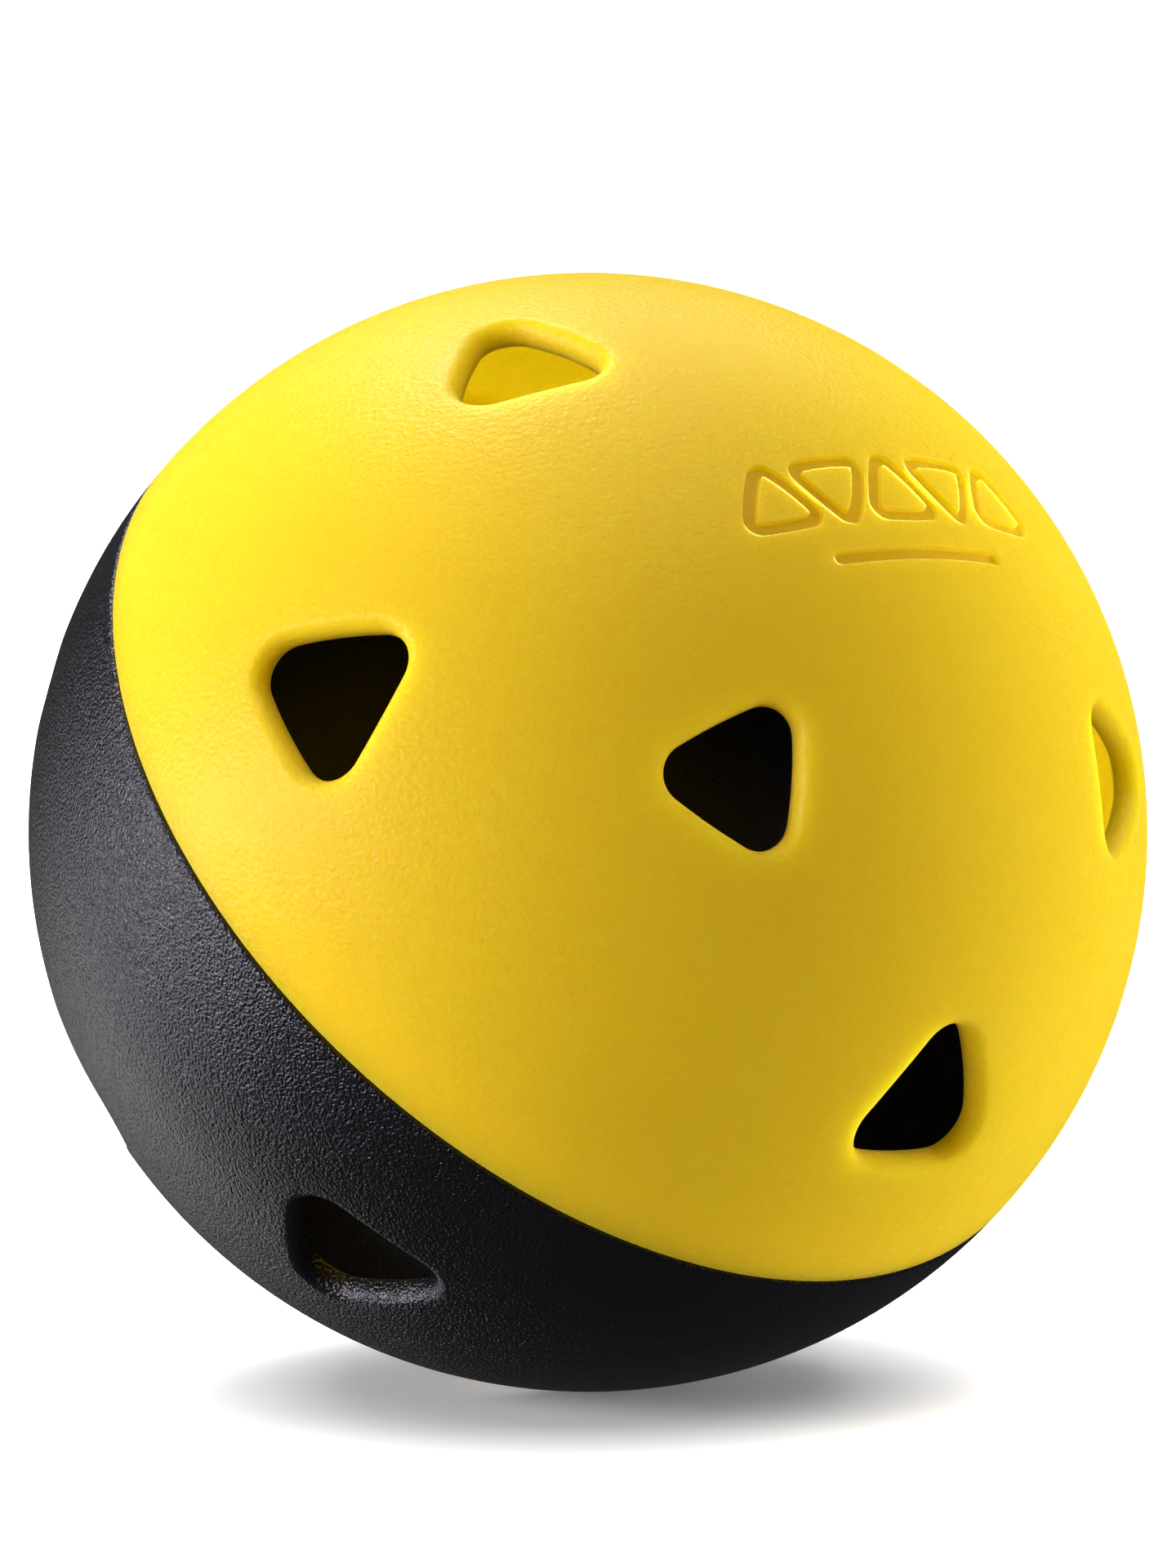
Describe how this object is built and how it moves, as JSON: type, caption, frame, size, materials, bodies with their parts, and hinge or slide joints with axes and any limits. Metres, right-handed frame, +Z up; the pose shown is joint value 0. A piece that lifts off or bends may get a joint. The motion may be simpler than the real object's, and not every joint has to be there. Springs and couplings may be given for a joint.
{
  "type": "perforated training ball",
  "caption": "Hollow plastic training ball: a yellow and a black moulded half shell bonded by a tongue-and-groove joint, pierced all over by rounded triangular holes.",
  "frame": {"origin": "centre of the ball", "axes": "+Z up as the ball lies loose on a level surface; -Y faces the viewer; the yellow pole leans up, to the right and towards the viewer, 46.7 degrees from +Z"},
  "size_m": [0.0739, 0.0739, 0.0739],
  "materials": {
    "yellow_plastic": "fine spark-eroded grain, slightly translucent",
    "black_plastic": "fine spark-eroded grain",
    "weld_plastic": "re-melted plastic, hidden in the joint"
  },
  "bodies": {
    "root": {"yellow_half_shell": "yellow_plastic", "black_half_shell": "black_plastic", "weld_bead": "weld_plastic"}
  },
  "joints": []
}
